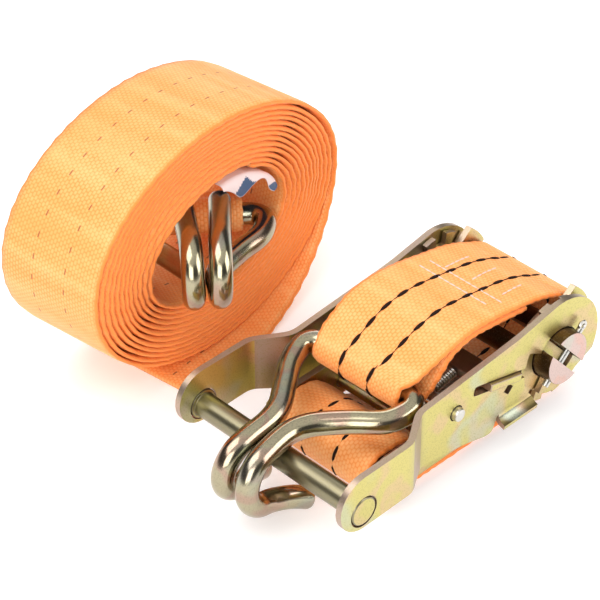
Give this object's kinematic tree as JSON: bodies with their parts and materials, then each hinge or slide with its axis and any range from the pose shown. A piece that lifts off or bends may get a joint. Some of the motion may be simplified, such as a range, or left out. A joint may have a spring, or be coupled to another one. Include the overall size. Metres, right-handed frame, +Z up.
{
  "type": "ratchet tie down",
  "caption": "Ratchet tie down: a yellow-zinc ratchet with a short orange strap and double J hook, beside its long orange strap wound into a coil round a second hook",
  "frame": {"origin": "The middle of the footprint of everything together, on the floor that the strap and the coil rest on.", "axes": "+X runs along the ratchet from its grip bar to its spindle, +Y from the ratchet to the coil behind it, +Z up."},
  "size_m": [0.121, 0.1348, 0.0765],
  "materials": {
    "zinc_plate": "yellow passivated zinc plating, satin, with pink and pale blue patches",
    "zinc_pin": "zinc plated, satin to bright",
    "zinc_wire": "bright yellow zinc, olive reflections, pink undersides",
    "spring_steel": "bare bright steel wire",
    "webbing": "woven polyester webbing, slight sheen, ribbed",
    "label": "coated label, matte, dark blue back"
  },
  "bodies": {
    "frame": {"frame_plate_near": "zinc_plate", "frame_plate_far": "zinc_plate", "anchor_bolt": "zinc_pin", "anchor_nut": "zinc_pin", "anchor_sleeve": "zinc_plate", "frame_tie": "zinc_pin", "lock_spring_near": "spring_steel", "lock_spring_far": "spring_steel", "short_strap_lower": "webbing", "short_strap_bight": "webbing"},
    "spindle": {"mandrel_half_upper": "zinc_pin", "mandrel_half_lower": "zinc_pin", "gear_near": "zinc_plate", "gear_far": "zinc_plate", "cotter_near": "spring_steel", "cotter_far": "spring_steel"},
    "lock_pawl": {"lock_pawl": "zinc_plate"},
    "handle": {"handle_plate_near": "zinc_plate", "handle_plate_far": "zinc_plate", "grip_bar": "zinc_plate", "cross_pin": "zinc_pin", "drive_spring_near": "spring_steel", "drive_spring_far": "spring_steel"},
    "drive_pawl": {"drive_pawl": "zinc_plate"},
    "strap_end": {"short_strap_top": "webbing"},
    "hook": {"ratchet_hook": "zinc_wire"},
    "coil": {"long_strap_coil": "webbing", "long_strap_tail": "webbing", "coil_eye": "webbing", "coil_label": "label"},
    "coil_hook": {"coil_hook": "zinc_wire"}
  },
  "joints": [
    {"name": "spindle_turn", "type": "hinge", "parent": "frame", "child": "spindle", "pos_m": [0.04142, -0.03617, 0.0212], "axis": [0, 1, 0], "continuous": true},
    {"name": "lock_pawl_slide", "type": "slide", "parent": "frame", "child": "lock_pawl", "axis": [-0.9703, 0, -0.2419], "range_m": [0, 0.0036], "stiffness_N_per_m": 600, "springref_m": -0.002, "deforming": ["lock_spring_near", "lock_spring_far"]},
    {"name": "handle_open", "type": "hinge", "parent": "frame", "child": "handle", "pos_m": [0.04142, -0.03617, 0.0212], "axis": [0, 1, 0], "range_deg": [0, 165], "deforming": ["short_strap_bight"]},
    {"name": "drive_pawl_slide", "type": "slide", "parent": "handle", "child": "drive_pawl", "axis": [-0.9703, 0, 0.2419], "range_m": [-0.0035, 0], "deforming": ["drive_spring_near", "drive_spring_far"]},
    {"name": "strap_slide", "type": "slide", "parent": "handle", "child": "strap_end", "axis": [-1, 0, 0], "range_m": [0, 0.012], "deforming": ["short_strap_bight"]},
    {"name": "hook_swing", "type": "hinge", "parent": "strap_end", "child": "hook", "pos_m": [-0.00928, -0.03577, 0.0301], "axis": [-0.0783, 0.9945, 0.0698], "range_deg": [0, 3.5]},
    {"name": "coil_lift", "type": "slide", "parent": "frame", "child": "coil", "axis": [0, 0, 1], "range_m": [0, 0.15]},
    {"name": "coil_hook_swing", "type": "hinge", "parent": "coil", "child": "coil_hook", "pos_m": [0.00368, 0.04392, 0.0334], "axis": [0.7749, -0.632, 0], "range_deg": [0, 10]}
  ]
}
